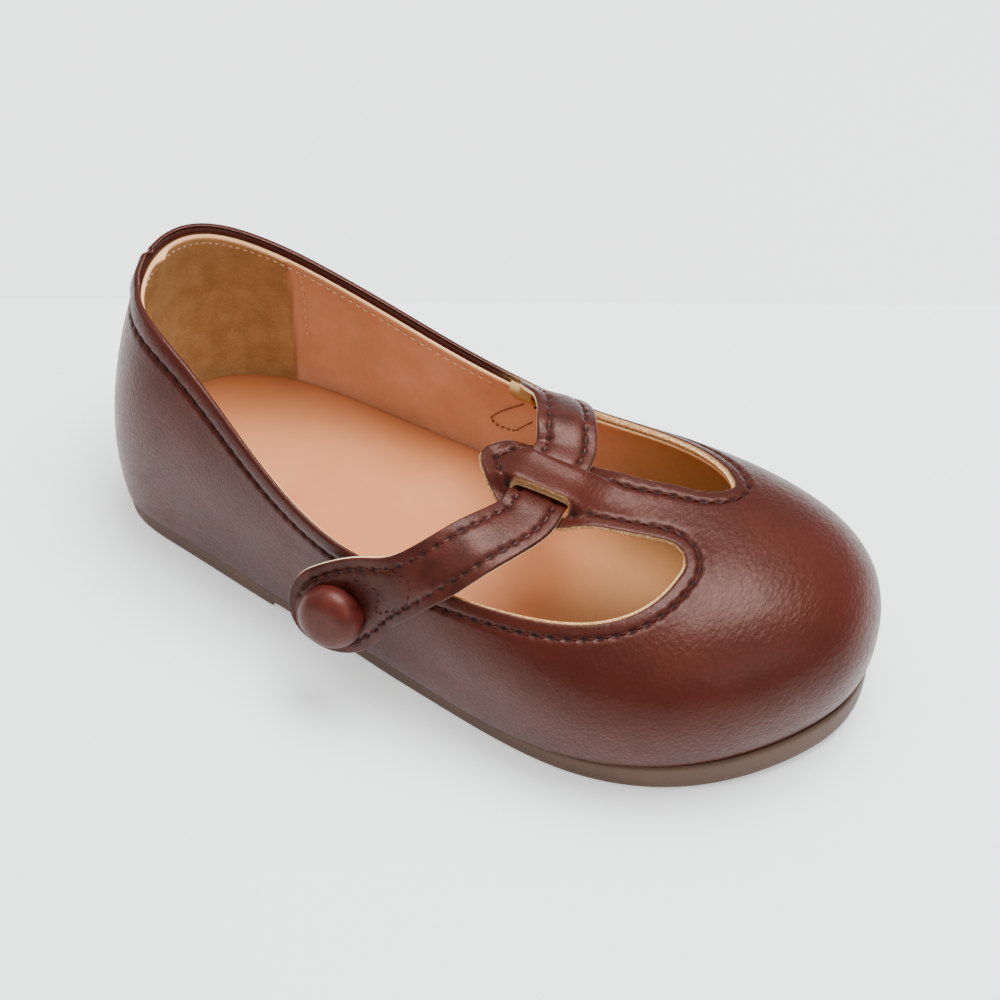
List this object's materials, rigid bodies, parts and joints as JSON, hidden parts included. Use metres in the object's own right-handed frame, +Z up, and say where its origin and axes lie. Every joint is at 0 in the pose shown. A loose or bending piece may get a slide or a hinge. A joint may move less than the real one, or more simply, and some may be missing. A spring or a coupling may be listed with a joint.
{
  "type": "mary jane shoe",
  "caption": "Right shoe of a child's T-bar mary jane in brown leather, open at collar and windows, with a buttoned strap threaded through the tab.",
  "frame": {"origin": "on the floor under the middle of the shoe's box", "axes": "+X from heel to toe, +Y to the inner side of the foot, +Z up"},
  "size_m": [0.1718, 0.0808, 0.0592],
  "materials": {
    "brown_leather": "smooth, waxed, soft gloss with fine pebble grain",
    "sock_leather": "matt tan lining leather",
    "brown_rubber": "matt moulded rubber"
  },
  "bodies": {
    "root": {"outsole": "brown_rubber", "insole": "sock_leather", "upper": "brown_leather", "strap": "brown_leather", "button": "brown_leather"}
  },
  "joints": []
}
